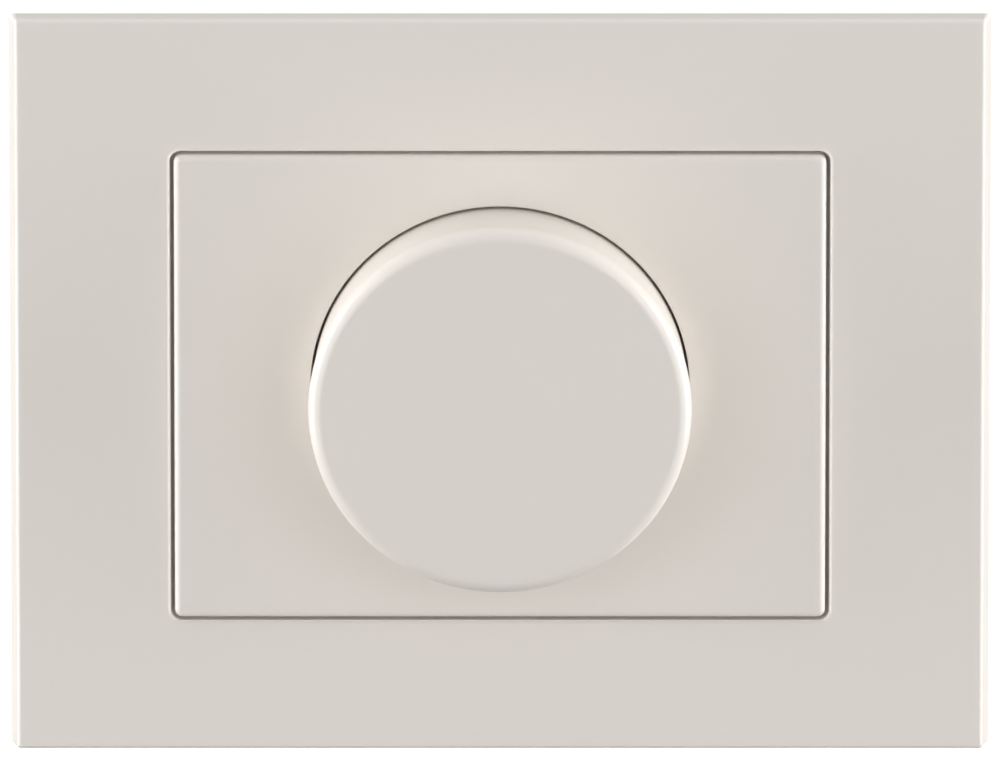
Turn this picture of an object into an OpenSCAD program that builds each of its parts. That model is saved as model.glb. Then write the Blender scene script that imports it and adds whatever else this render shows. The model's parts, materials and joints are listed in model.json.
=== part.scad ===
// Flush rotary push dimmer in a wide cover frame, millimetres.
// +X right, +Z up, -Y out of the wall. The wall surface is y = 0 and the knob axis is the Y axis.

/* [Cover frame] */
// Width of the frame's front face
frame_w = 106.4; // [104:0.5:112]
// Height of the frame's front face
frame_h = 84.2; // [82:0.2:88]
// How far the frame stands out of the wall
frame_out = 8; // [8:0.1:8.4]
// Thickness of the frame's outer edge
slab_t = 2.6; // [2.4:0.1:3.2]
// How much wider the slab is at its back, on the left and right sides
draft_side = 0.6; // [0.2:0.1:1]
// How much wider the slab is at its back, at the top and bottom
draft_top = 0; // [0:0.05:0.6]
// How far the lip round the window stands above the frame's face
lip_rise = 0.2; // [0.1:0.05:0.3]

/* [Centre plate] */
// Width of the centre plate
plate_w = 71.5; // [71.5:0.1:72.4]
// Height of the centre plate
plate_h = 53.3; // [53:0.1:54.2]
// Corner radius of the centre plate
plate_r = 0.9; // [0.6:0.1:1.5]
// How far the plate stands proud of the frame
plate_proud = 0.5; // [0.4:0.1:1]
// Gap between the plate and the frame's window
groove = 0.4; // [0.2:0.05:0.5]

/* [Knob] */
// Radius of the knob where it leaves the well
knob_r = 20.5; // [20.4:0.1:20.6]
// Radius of the knob near its front
knob_front_r = 21; // [20.7:0.1:21.2]
// How far the knob's front stands out of the centre plate
knob_proud = 9.2; // [8.7:0.1:10]
// Radius of the knob's front edge
knob_edge_r = 1.5; // [0.8:0.05:1.8]
// Radius of the round well in the centre plate
well_r = 20.8; // [20.7:0.05:21.2]
// Push travel of the knob
push_travel = 1.2; // [0.8:0.1:1.2]

/* [Mounting] */
// Distance between the box screws
screw_spacing = 60; // [60:0.1:60.4]
// Width and height of the steel support frame
support_w = 71; // [70:0.5:72]
// Radius of the dimmer housing, which goes into the wall box
housing_r = 26; // [26:0.1:26.4]
// Depth of the dimmer housing behind the wall surface
housing_depth = 31; // [31:0.5:34]

/* [Hidden] */
$fn = 64;

eps = 0.01;
window_w = plate_w + 2 * groove;
window_h = plate_h + 2 * groove;
plate_front = -frame_out - plate_proud;
plate_t = 2;
ledge_y = plate_front + plate_t;         // where the plate rests in the frame
ledge_t = 1.5;
ledge_w = 68.5;
ledge_h = 50.5;
skirt_inset = 2.2;
skirt_t = 1.6;
slab_back = -frame_out + slab_t;
face_y = -frame_out + lip_rise;          // the frame's face, behind its lip
lip_run = 3.8;                           // from the window to where the lip starts to rise
lip_crest = 0.3;
frame_rib_z = [-18, 0, 18];
plate_rib_z = [-8, 8];
floor_y = -5.2;                          // front of the well's floor
floor_back = -3.8;
well_wall = 1.2;
rib_t = 1.2;                             // ribs of the frame and the knob
rim_gap = 0.2;                           // between the plate's rim and the frame's ledge
rim_t = 1.3;
collar_t = 1.2;
steel_t = 1.2;                           // support frame
support_r = 3;
slot_r = 1.85;
slot_length = 7.2;
fold_half = 24;                          // half the length of a folded edge
fold_depth = 1.4;
opening_w = 38;                          // window in the support frame
sink_t = 2;
sink_r = 28;
sink_w = 54;
sink_h = 46;

bush_r = 4.95;
bush_hole_r = 5.15;
bush_front = -9;
shaft_r = 3;
bearing_gap = 0.05;
flat_x = 2;                              // distance of the shaft's flat from its axis
shaft_front = -15.2;
shaft_tip = 10.6;
flat_start = 3.4;

knob_front = plate_front - knob_proud;
knob_rim = -6.9;
knob_skin = 2.2;
knob_wall = 1.8;
knob_inner = knob_front + knob_skin;
hub_r = 5.1;
hub_back = -10.5;
hub_slit = 0.8;                          // slit that lets the hub grip
clip_t = 0.65;
clip_half = 150;                         // degrees
washer_r = 8;
washer_t = 0.7;
nut_width = 14;                          // across its flats
nut_t = 2.5;
insert_w = 47;
insert_front = -2.4;
boss_r = 12;
cover_screw_r = 1.05;
cover_head_r = 2.1;
cover_head_t = 1.1;

pot_r = 9.5;
pot_inner_r = 8.3;
pot_front = 3.2;
pot_back = 9.8;
carrier_r = 6.4;
lug_r = 8;
lug_half = 20;                           // degrees
stop_half = 23;
carrier_front = 4.8;
carrier_back = 7.4;
contact_t = 0.4;
track_front = 8.8;
rest_angle = -135;                       // lug's place at rest, clockwise from the top

board_front = 18;
board_t = 1.6;
board_back = board_front + board_t;
housing_x = 21.6;                        // flats of the housing
housing_z = 23;
wall_t = 1.4;
vent_x = [-12:4:8];
vent_half = 0.8;
vent_low = -6;
vent_high = 14;
post_spots = [[17, 15.5], [17, -15.5], [-17, -15.5]];
post_r = 2.9;
housing_screw_r = 1.25;
housing_head_r = 2.4;
housing_head_t = 1.4;
cover_screw_spots = [for (sx = [-1, 1]) for (sz = [-1, 1]) [sx * 21.8, sz * 14]];

claw_screw_x = 23.7;
claw_screw_r = 1.5;
claw_head_r = 2.4;
claw_head_t = 1.6;
claw_head_gap = 0.15;                    // under the head
tip_r = 2;                               // upset end that keeps the claw on its screw
claw_in = 25.6;                          // inner face of a folded claw
claw_t = 1.2;
claw_foot = 21.9;                        // inner end of the foot that the screw pulls on
claw_foot_t = 1.5;
tooth_z = [-3, 0, 3];
tooth_w = 2.6;
claw_half_w = 4.5;
claw_start = 8;
claw_end = 21.5;
tooth = 2.5;
ramp_slope = tan(30);
ramp_end = 27.9;

terminal_pitch = 8.4;
terminal_z = -17.3;
block_w = 26.4;
block_low = -22.9;
block_high = -12.4;
cage_w = 6;
cage_front = 21.2;
cage_back = 28.3;
cage_low = -20.9;
cage_high = -13.8;
cage_gap = 0.1;                          // round a cage in its pocket
cage_hole = 2.2;                         // half the cage's square hole
terminal_screw_y = 24.7;
wire_hole_r = 2;

choke_x = -8.5;
choke_z = 9.5;
choke_y = 24.3;
choke_ring_r = 7;
choke_core_r = 2.6;
turns = 19.5;                            // the half turn brings both ends out downward
turn_steps = 10;
winding_r = 3.25;
winding_wire_r = 0.4;

fuse_z = -7.2;
fuse_y = 24.3;
fuse_half = 10;                          // half the fuse's length
fuse_cap = 4.8;                          // length of a cap
fuse_clip_x = 7.6;
clip_half_w = 2;
lead_r = 0.4;
lead_hole_r = 0.65;
pin_spots = [for (x = [-5, 0, 5]) [x, -11.7]];
triac_screw_spot = [-5, 15.6];
triac_hole_r = 1.8;
triac_left = -7.7;
triac_body_left = -1.4;
triac_right = 7.5;
triac_low = 10.6;
triac_high = 20.6;
triac_body_t = 4.7;
pad_margin = 0.2;
pad_t = 0.3;                             // thermal pad
triac_tab_back = sink_t + pad_t + 1.3;
triac_legs = [for (i = [-1:1]) [9.5, triac_screw_spot[1] + i * 2.54]];
contact_spots = [[-5, 0], [5, 0]];
resistor_spots = [[14.6, -9.6], [14.6, -2], [14.6, 1.2]];
diac_spot = [-14.6, -9.6];
axial_half = 4.2;                        // half the lead pitch of resistors and diac
timing_spot = [-13.5, 0];
choke_sweep = 300;                       // degrees of the ring under the winding
choke_leads = [for (w = [[choke_ring_r + winding_r, 30], [choke_ring_r - winding_r, 30 + choke_sweep]])
    [choke_x + w[0] * cos(w[1]), choke_z + w[0] * sin(w[1])]];
capacitor_leads = [[6.2, 7.2], [15.2, 7.2]];
lead_spots = concat(pin_spots, triac_legs, contact_spots, choke_leads, capacitor_leads,
    [for (p = concat(resistor_spots, [diac_spot])) for (s = [-1, 1]) [p[0] + s * axial_half, p[1]]],
    [for (s = [-1, 1]) [timing_spot[0] + s * 2, timing_spot[1]]]);

case_front = 10.2;                       // switch case, outside and inside
case_w = 14;
case_h = 12;
case_wall = 1;
chamber_front = 11.4;
chamber_back = 17;
plunger_r = 3.2;
plunger_flange = 13;
flange_r = 4;                            // keeps the plunger in its case
contact_travel_gap = 0.05;
spring_turns = 3;
spring_steps = 12 * spring_turns;
spring_low = plunger_flange + 1.4 + 0.25;
spring_high = chamber_back - 0.25;

plastic = [0.87, 0.85, 0.83];
inner_plastic = [0.30, 0.31, 0.33];
steel = [0.72, 0.73, 0.74];
brass = [0.80, 0.65, 0.35];
copper = [0.75, 0.42, 0.22];

// ---- helpers -------------------------------------------------------------------------------

// a flat outline, drawn in X and Z, as a slab from y0 to y1
module yslab(y0, y1) translate([0, y1, 0]) rotate([90, 0, 0]) linear_extrude(y1 - y0) children();

// a cylinder along Y from y0 to y1
module ycyl(r, y0, y1, x = 0, z = 0) translate([x, y0, z]) rotate([-90, 0, 0]) cylinder(r = r, h = y1 - y0);

// an outline of [radius, y] points, turned round the Y axis
module lathe() rotate([-90, 0, 0]) rotate_extrude() children();

// a box from its low and high corners
module box(low, high) translate(low) cube(high - low);

module at_spots(spots) for (p = spots) translate([p[0], 0, p[1]]) children();

module round_rect(w, h, r) {
    square([w - 2 * r, h], center = true);
    square([w, h - 2 * r], center = true);
    for (sx = [-1, 1]) for (sz = [-1, 1]) translate([sx * (w / 2 - r), sz * (h / 2 - r)]) circle(r, $fn = 32);
}

module d_outline(r, flat) difference() {
    circle(r);
    translate([flat, -r]) square(2 * r);
}

// a sector of a ring between two radii, centred on an angle clockwise from the top
module ring_sector(r0, r1, middle, half) intersection() {
    difference() {
        circle(r1);
        circle(r0);
    }
    rotate(90 - middle) polygon([[0, 0], for (s = [-1:0.25:1]) 2 * r1 * [cos(s * half), sin(s * half)]]);
}

module housing_outline(inset) intersection() {
    circle(housing_r - inset);
    square([2 * (housing_x - inset), 2 * (housing_z - inset)], center = true);
}

// a straight slot with round ends, centred at [x, z], along X or along Z
module slot(x, z, along_x) {
    run = (slot_length - 2 * slot_r) / 2;
    dx = along_x ? run : 0;
    dz = along_x ? 0 : run;
    for (s = [-1, 1]) translate([x + s * dx, z + s * dz]) circle(slot_r, $fn = 32);
    translate([x, z]) square([2 * (along_x ? run : slot_r), 2 * (along_x ? slot_r : run)], center = true);
}

// a round tube swept along a list of points, closed at both ends
function direction(v) = v / norm(v);
function tangent(p, i) = direction(p[min(i + 1, len(p) - 1)] - p[max(i - 1, 0)]);
function ring(centre, t, toward, r, sides) =
    let (u = direction(toward - (toward * t) * t), v = cross(t, u))
    [for (k = [0:sides - 1]) centre + r * (cos(360 * k / sides) * u + sin(360 * k / sides) * v)];
module swept_tube(p, toward, r, sides = 6) {
    n = len(p);
    points = [for (i = [0:n - 1]) each ring(p[i], tangent(p, i), toward[i], r, sides)];
    walls = [for (i = [0:n - 2]) for (k = [0:sides - 1])
        let (a = i * sides + k, b = i * sides + (k + 1) % sides) [a, b, b + sides, a + sides]];
    first = [for (k = [sides - 1:-1:0]) k];
    last = [for (k = [0:sides - 1]) (n - 1) * sides + k];
    polyhedron(points, [for (f = concat(walls, [first, last])) [for (k = [len(f) - 1:-1:0]) f[k]]]);
}

// a small part with two axial leads bent down into the board
module axial(spot, r, length) translate([spot[0], 0, spot[1]]) {
    y = board_front - r - 0.4;
    translate([-length / 2, y, 0]) rotate([0, 90, 0]) cylinder(r = r, h = length);
    for (s = [-1, 1]) {
        box([min(s * axial_half, s * length / 2) - (s < 0 ? lead_r : 0), y - lead_r, -lead_r],
            [max(s * axial_half, s * length / 2) + (s > 0 ? lead_r : 0), y + lead_r, lead_r]);
        ycyl(lead_r, y, board_back + 1, x = s * axial_half);
    }
}

module screw(head_r, head_t, shank_r, y_head, y_tip) {
    ycyl(head_r, y_head, y_head + head_t);
    ycyl(shank_r, y_head + head_t / 2, y_tip);
}

// a cross recess in the front of a screw head
module cross_recess(width, y0, depth) for (a = [0, 90]) rotate([0, a, 0])
    box([-width / 2, y0 - 1, -width / 7], [width / 2, y0 + depth, width / 7]);

// ---- in front of the wall ------------------------------------------------------------------

// the frame's window, made wider all round
module window_outline(wider) round_rect(window_w + 2 * wider, window_h + 2 * wider, plate_r + groove + wider);

module cover_frame() color(plastic) difference() {
    union() {
        hull() {
            yslab(face_y, face_y + eps) square([frame_w, frame_h], center = true);
            yslab(slab_back - eps, slab_back)
                square([frame_w + 2 * draft_side, frame_h + 2 * draft_top], center = true);
        }
        // lip that rises towards the window
        hull() {
            yslab(-frame_out, face_y) window_outline(lip_crest);
            yslab(face_y, face_y + eps) window_outline(lip_run);
        }
        // skirt that meets the wall, set back from the edge
        yslab(slab_back - 0.3, 0) difference() {
            square([frame_w, frame_h] - 2 * skirt_inset * [1, 1], center = true);
            square([frame_w, frame_h] - 2 * (skirt_inset + skirt_t) * [1, 1], center = true);
        }
        // collar round the window, which bears on the support frame
        yslab(slab_back - 0.3, -steel_t) difference() {
            square([ledge_w + 2 * collar_t, ledge_h + 2 * collar_t], center = true);
            square([ledge_w, ledge_h], center = true);
        }
        // ribs between collar and skirt
        for (sx = [-1, 1]) for (z = frame_rib_z)
            mirror([sx > 0 ? 0 : 1, 0, 0]) box([support_w / 2 + 0.4, slab_back - 0.3, z - rib_t / 2],
                [frame_w / 2 - skirt_inset - 1, -0.6, z + rib_t / 2]);
    }
    yslab(-frame_out - 1, ledge_y) window_outline(0);
    yslab(ledge_y - 1, 1) square([ledge_w, ledge_h], center = true);
}

module centre_plate() color(plastic) difference() {
    union() {
        yslab(plate_front, ledge_y) round_rect(plate_w, plate_h, plate_r);
        // locating rim inside the frame's ledge
        yslab(ledge_y - 0.5, ledge_y + ledge_t) difference() {
            square([ledge_w - 2 * rim_gap, ledge_h - 2 * rim_gap], center = true);
            square([ledge_w - 2 * (rim_gap + rim_t), ledge_h - 2 * (rim_gap + rim_t)], center = true);
        }
        ycyl(well_r + well_wall, plate_front + 1, floor_back);
        // stiffening ribs beside the well
        for (sx = [-1, 1]) for (z = plate_rib_z)
            mirror([sx > 0 ? 0 : 1, 0, 0]) box([well_r + 0.5, ledge_y - 0.5, z - 0.5],
                [ledge_w / 2 - 0.6, ledge_y + ledge_t, z + 0.5]);
    }
    ycyl(well_r, plate_front - 1, floor_y);
    ycyl(bush_hole_r, floor_y - 1, floor_back + 1);
}

// outline of the knob, from the rim forward and round the front edge
module knob_outline() polygon(concat(
    [[0, knob_rim], [knob_r, knob_rim], [knob_r, plate_front - 0.7]],
    [for (a = [0:10:90]) [knob_front_r, knob_front] + knob_edge_r * [cos(a) - 1, 1 - sin(a)]],
    [[0, knob_front]]));

module knob() color(plastic) difference() {
    union() {
        difference() {
            lathe() knob_outline();
            ycyl(knob_r - knob_wall, knob_inner, 0);
        }
        ycyl(hub_r, knob_inner - 0.5, hub_back);
        for (a = [0:60:300]) rotate([0, a, 0])
            box([hub_r - 1, knob_inner - 0.5, -rib_t / 2],
                [knob_r - knob_wall + 0.5, hub_back - 2, rib_t / 2]);
    }
    yslab(shaft_front - 0.1, 0) d_outline(shaft_r + 0.02, flat_x + 0.02);
    box([-hub_r - 0.5, hub_back - 4.2, -hub_slit / 2], [-shaft_r + 1, 0, hub_slit / 2]);
}

module knob_clip() color(steel) yslab(hub_back - 1.7, hub_back - 0.5)
    ring_sector(hub_r + 0.05, hub_r + 0.05 + clip_t, 90, clip_half);

module lock_washer() color(steel) yslab(floor_y - washer_t, floor_y) difference() {
    circle(washer_r);
    circle(bush_r + 0.15);
}

module retaining_nut() color(brass) difference() {
    translate([0, floor_y - washer_t - nut_t, 0]) rotate([-90, 0, 0])
        cylinder(r = nut_width / 2 / cos(30), h = nut_t, $fn = 6);
    ycyl(bush_r + 0.02, -20, 0);
}

module insert_cover() color(inner_plastic) difference() {
    union() {
        yslab(insert_front, -steel_t) square([insert_w, insert_w], center = true);
        ycyl(boss_r, floor_back, -2);
        yslab(-steel_t - 0.5, 0) square([opening_w - 0.4, opening_w - 0.4], center = true);
    }
    ycyl(bush_hole_r, -10, 2);
    at_spots(cover_screw_spots) ycyl(cover_screw_r + 0.35, -3, 0);
    // room for the heads of the claw screws
    for (sx = [-1, 1]) ycyl(claw_head_r + 0.6, -3, 0.5, x = sx * claw_screw_x);
}

module cover_screws() color(steel) at_spots(cover_screw_spots) difference() {
    head_y = insert_front - cover_head_t;
    screw(cover_head_r, cover_head_t, cover_screw_r, head_y, sink_t);
    cross_recess(cover_head_r, head_y, 0.5);
}

module support_frame() color(steel) difference() {
    union() {
        yslab(-steel_t, 0) difference() {
            round_rect(support_w, support_w, support_r);
            square([opening_w, opening_w], center = true);
            for (s = [-1, 1]) {
                slot(s * screw_spacing / 2, 0, true);
                slot(0, s * screw_spacing / 2, false);
            }
        }
        // folded edges at the top and bottom
        for (s = [-1, 1]) translate([0, 0, s * (support_w - steel_t) / 2])
            box([-fold_half, -steel_t - fold_depth, -steel_t / 2], [fold_half, -steel_t / 2, steel_t / 2]);
    }
    at_spots(cover_screw_spots) ycyl(cover_screw_r + 0.2, -3, 1);
    for (sx = [-1, 1]) ycyl(claw_screw_r + bearing_gap, -3, 1, x = sx * claw_screw_x);
}

// ---- behind the support frame --------------------------------------------------------------

module heat_sink() color([0.80, 0.81, 0.82]) difference() {
    yslab(0, sink_t) intersection() {
        circle(sink_r);
        square([sink_w, sink_h], center = true);
    }
    ycyl(bush_hole_r, -1, 3);
    at_spots(cover_screw_spots) ycyl(cover_screw_r + bearing_gap, -1, 3);
    at_spots(concat(post_spots, [triac_screw_spot])) ycyl(housing_screw_r + bearing_gap, -1, 3);
    for (sx = [-1, 1]) ycyl(claw_screw_r + 0.6, -1, 3, x = sx * claw_screw_x);
}

module claw() color(steel) {
    difference() {
        union() {
            box([claw_in, claw_start, -claw_half_w], [claw_in + claw_t, claw_end, claw_half_w]);
            box([claw_foot, claw_end - claw_foot_t, -claw_half_w], [claw_in + 0.5, claw_end, claw_half_w]);
            // teeth that bite into the wall box
            for (z = tooth_z) translate([0, 0, z - tooth_w / 2]) linear_extrude(tooth_w)
                polygon([[claw_in + 0.5, claw_start], [claw_in + 0.5 + tooth, claw_start],
                    [claw_in + 0.5, claw_start + 3]]);
        }
        // open slot that straddles the screw
        box([20, claw_end - 2, -claw_screw_r - 0.15], [claw_in - eps, claw_end + 1, claw_screw_r + 0.15]);
    }
}
module claw_left() mirror([1, 0, 0]) claw();
module claw_right() claw();

module claw_screw(x) color(steel) translate([x, 0, 0]) difference() {
    head_back = -steel_t - claw_head_gap;
    union() {
        screw(claw_head_r, claw_head_t, claw_screw_r, head_back - claw_head_t, claw_end + 1.6);
        ycyl(tip_r, claw_end + 0.5, claw_end + 1.5);
    }
    box([-3, -10, -0.35], [3, head_back - claw_head_t / 2, 0.35]);
}
module claw_screw_left() claw_screw(-claw_screw_x);
module claw_screw_right() claw_screw(claw_screw_x);

// two ribs that push a claw outward as it is drawn forward
module ramps() for (z = [-3.9, 2.1]) translate([0, 0, z]) linear_extrude(1.8)
    polygon([[housing_x - 0.5, sink_t], [ramp_end, sink_t],
        [ramp_end, claw_start - (ramp_end - claw_in + 0.3) / ramp_slope],
        [claw_in - 0.3, claw_start], [housing_x - 0.5, claw_start + 4]]);

module housing() color(inner_plastic) difference() {
    union() {
        difference() {
            yslab(sink_t, housing_depth) housing_outline(0);
            yslab(sink_t - 1, housing_depth - wall_t) housing_outline(wall_t);
        }
        at_spots(post_spots) ycyl(post_r, sink_t, housing_depth - 0.5);
        ramps();
        mirror([1, 0, 0]) ramps();
    }
    at_spots(post_spots) {
        ycyl(housing_screw_r + 0.15, 0, housing_depth + 1);
        ycyl(housing_head_r + 0.2, housing_depth - housing_head_t - 0.4, housing_depth + 1);
    }
    box([-block_w / 2 - 0.2, board_back - 0.2, -30],
        [block_w / 2 + 0.2, housing_depth + 1, block_high + 0.2]);
    // vents
    for (x = vent_x) box([x - vent_half, housing_depth - 2, vent_low],
        [x + vent_half, housing_depth + 1, vent_high]);
}

module housing_screws() color(steel) at_spots(post_spots) mirror([0, 1, 0])
    translate([0, -housing_depth, 0]) difference() {
        screw(housing_head_r, housing_head_t, housing_screw_r, 0.4, housing_depth - 0.4);
        cross_recess(housing_head_r + 0.2, 0.4, 0.7);
    }

module circuit_board() color([0.16, 0.36, 0.22]) difference() {
    yslab(board_front, board_back) housing_outline(wall_t + 0.3);
    at_spots(post_spots) ycyl(post_r + 0.3, 10, 30);
    at_spots(lead_spots) ycyl(lead_hole_r, 10, 30);
}

module terminal_pockets() for (i = [-1:1]) translate([i * terminal_pitch, 0, 0]) children();

module terminal_block() color([0.90, 0.89, 0.85]) difference() {
    box([-block_w / 2, board_back, block_low], [block_w / 2, housing_depth, block_high]);
    terminal_pockets() {
        box([-cage_w / 2 - cage_gap, cage_front - 2 * cage_gap, cage_low - 3 * cage_gap],
            [cage_w / 2 + cage_gap, cage_back + 2 * cage_gap, cage_high + 2 * cage_gap]);
        ycyl(wire_hole_r, 28, housing_depth + 1, z = terminal_z);
        translate([0, terminal_screw_y, -30]) cylinder(r = 2.7, h = 9);
    }
}

module terminal_cages() color(brass) terminal_pockets() difference() {
    box([-cage_w / 2, cage_front, cage_low], [cage_w / 2, cage_back, cage_high]);
    box([-cage_hole, cage_front - 1, terminal_z - cage_hole],
        [cage_hole, cage_back + 1, terminal_z + cage_hole]);
    translate([0, terminal_screw_y, cage_low - 1]) cylinder(r = 1.55, h = 3);
}

module terminal_screws() color(steel) terminal_pockets() translate([0, terminal_screw_y, 0]) difference() {
    union() {
        translate([0, 0, -22.7]) cylinder(r = 2.4, h = 1.7);
        translate([0, 0, -21.5]) cylinder(r = 1.5, h = 2.7);
    }
    box([-3, -0.35, -23], [3, 0.35, -21.9]);
}

// ---- electronics ---------------------------------------------------------------------------

module xcyl(r, x0, x1, y, z) translate([x0, y, z]) rotate([0, 90, 0]) cylinder(r = r, h = x1 - x0, $fn = 32);

module fuse_glass() color([0.85, 0.92, 0.92, 0.4]) difference() {
    xcyl(2.38, -9.3, 9.3, fuse_y, fuse_z);
    xcyl(1.9, -10, 10, fuse_y, fuse_z);
}

module fuse_caps() color(steel) for (s = [-1, 1]) difference() {
    xcyl(2.6, s > 0 ? fuse_half - fuse_cap : -fuse_half, s > 0 ? fuse_half : fuse_cap - fuse_half,
        fuse_y, fuse_z);
    xcyl(2.4, s > 0 ? 5 : 0.5 - fuse_half, s > 0 ? fuse_half - 0.5 : -5, fuse_y, fuse_z);
}

module fuse_wire() color(steel) xcyl(0.15, 0.5 - fuse_half, fuse_half - 0.5, fuse_y, fuse_z);

module fuse_clips() color(steel) for (s = [-1, 1]) translate([s * fuse_clip_x, 0, fuse_z]) {
    box([-clip_half_w, board_back, -3.2], [clip_half_w, board_back + 0.5, 3.2]);
    for (a = [-1, 1]) box([-clip_half_w, board_back, a * 2.95 - 0.25],
        [clip_half_w, fuse_y + 1.6, a * 2.95 + 0.25]);
}

module choke_core() color([0.35, 0.34, 0.36]) translate([choke_x, choke_y, choke_z]) lathe()
    translate([choke_ring_r, 0]) circle(choke_core_r, $fn = 32);

// centre line of the winding: it goes round the core's section while it travels round the ring
function winding_axis(t) = [cos(30 + choke_sweep * t), 0, sin(30 + choke_sweep * t)];
function winding_out(t) = cos(360 * turns * t) * winding_axis(t) + [0, sin(360 * turns * t), 0];
winding_steps = turns * turn_steps;

module choke_winding() color(copper) translate([choke_x, choke_y, choke_z]) {
    points = [for (i = [0:winding_steps]) let (t = i / winding_steps)
        choke_ring_r * winding_axis(t) + winding_r * winding_out(t)];
    outward = [for (i = [0:winding_steps]) winding_out(i / winding_steps)];
    drop = [0, board_front - 0.8 - choke_y, 0];
    swept_tube(concat([points[0] + drop], points, [points[winding_steps] + drop]),
        concat([outward[0]], outward, [outward[winding_steps]]), winding_wire_r);
}

module suppression_capacitor() color([0.85, 0.75, 0.25]) {
    box([4.2, board_back + 0.2, 3], [17.2, board_back + 9.2, 9]);
    at_spots(capacitor_leads) ycyl(lead_r, board_front - 0.8, board_back + 0.5);
}

module timing_capacitor() color([0.55, 0.15, 0.12]) {
    box([timing_spot[0] - 3.6, 11, -2.2], [timing_spot[0] + 3.6, board_front - 0.3, 2.2]);
    for (s = [-1, 1]) ycyl(lead_r, board_front - 0.6, board_back + 0.8, x = timing_spot[0] + s * 2);
}

module resistors() color([0.82, 0.74, 0.60]) for (p = resistor_spots) axial(p, 1.2, 6);

module trigger_diac() color([0.75, 0.35, 0.2]) axial(diac_spot, 0.9, 4);

module power_triac() color([0.16, 0.16, 0.17]) {
    difference() {
        union() {
            box([triac_left, sink_t + pad_t, triac_low], [triac_right, triac_tab_back, triac_high]);
            box([triac_body_left, sink_t + pad_t, triac_low],
                [triac_right, sink_t + triac_body_t, triac_high]);
        }
        at_spots([triac_screw_spot]) ycyl(triac_hole_r, 0, 10);
    }
    for (p = triac_legs) {
        box([7, 4.3, p[1] - 0.35], [p[0] + lead_r, 5, p[1] + 0.35]);
        ycyl(lead_r, 4.5, board_back + 1, x = p[0], z = p[1]);
    }
}

module thermal_pad() color([0.80, 0.82, 0.85]) difference() {
    box([triac_left - pad_margin, sink_t, triac_low - pad_margin],
        [triac_right + pad_margin, sink_t + pad_t, triac_high + pad_margin]);
    at_spots([triac_screw_spot]) ycyl(triac_hole_r, 0, 10);
}

module triac_screw() color(steel) at_spots([triac_screw_spot]) mirror([0, 1, 0])
    screw(2.6, 1.6, housing_screw_r, -triac_tab_back - 1.6, -0.1);

// ---- potentiometer and push switch ---------------------------------------------------------

module pot_bush() color(brass) difference() {
    union() {
        ycyl(bush_r, bush_front, pot_front);
        ycyl(8, sink_t, pot_front);
    }
    ycyl(shaft_r + bearing_gap, bush_front - 1, pot_front + 1);
}

module pot_case() color(inner_plastic) {
    difference() {
        ycyl(pot_r, pot_front, pot_back);
        ycyl(pot_inner_r, pot_front + 1.2, pot_back + 1);
        ycyl(shaft_r + 0.6, 0, pot_back);
    }
    // stop that the carrier's lug meets at both ends of its turn
    yslab(pot_front + 1, carrier_back + contact_t)
        ring_sector(carrier_r + 0.3, pot_inner_r + 0.3, 180, stop_half);
}

module resistive_track() color([0.45, 0.28, 0.15]) yslab(track_front, pot_back) difference() {
    circle(pot_inner_r - 0.05);
    circle(3.6);
}

module pot_pins() color(steel) at_spots(pin_spots) {
    box([-0.4, pot_back, -0.4], [0.4, pot_back + 0.5, 5.2]);
    ycyl(lead_r, pot_back, board_back + 1);
}

module pot_shaft() color(brass) difference() {
    ycyl(shaft_r, shaft_front, shaft_tip);
    box([flat_x, shaft_front - 1, -5], [9, hub_back, 5]);
    box([flat_x, flat_start, -5], [9, shaft_tip + 1, 5]);
}

module wiper_carrier() color([0.88, 0.88, 0.84]) {
    yslab(carrier_front, carrier_back) difference() {
        circle(carrier_r);
        d_outline(shaft_r + bearing_gap, flat_x + bearing_gap);
    }
    yslab(carrier_front, carrier_back) ring_sector(carrier_r - 0.3, lug_r, rest_angle, lug_half);
}

module wiper_contact() color(copper) {
    yslab(carrier_back, carrier_back + contact_t) difference() {
        circle(6.1);
        circle(4);
    }
    // two fingers that ride on the track
    for (a = [rest_angle, rest_angle + 24]) rotate([0, a, 0])
        box([-0.4, carrier_back + 0.2, 4.4], [0.4, track_front - 0.1, 5.6]);
}

module switch_case() color([0.12, 0.12, 0.13]) difference() {
    box([-case_w / 2, case_front, -case_h / 2], [case_w / 2, board_front, case_h / 2]);
    box([case_wall - case_w / 2, chamber_front, case_wall - case_h / 2],
        [case_w / 2 - case_wall, chamber_back, case_h / 2 - case_wall]);
    ycyl(plunger_r + 0.1, 5, 15);
    at_spots(contact_spots) ycyl(lead_r + 0.02, 16, 20);
}

module switch_plunger() color([0.85, 0.83, 0.78]) {
    ycyl(plunger_r, shaft_tip + 0.1, plunger_flange);
    ycyl(flange_r, plunger_flange - 0.4, plunger_flange + 1);
}

module contact_bridge() color(copper)
    box([-5.7, plunger_flange + 1, -1.4], [5.7, plunger_flange + 1.4, 1.4]);

module fixed_contacts() color(copper) at_spots(contact_spots) {
    ycyl(0.7, plunger_flange + 1.4 + push_travel + contact_travel_gap, chamber_back);
    ycyl(lead_r, chamber_back - 0.2, board_back + 1);
}

// a helix between the plunger and the floor of the switch case
function spring_out(t) = [cos(360 * spring_turns * t), 0, sin(360 * spring_turns * t)];
module return_spring() color(steel) swept_tube(
    [for (i = [0:spring_steps]) let (t = i / spring_steps)
        2.2 * spring_out(t) + [0, spring_low + (spring_high - spring_low) * t, 0]],
    [for (i = [0:spring_steps]) spring_out(i / spring_steps)], 0.2);

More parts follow.
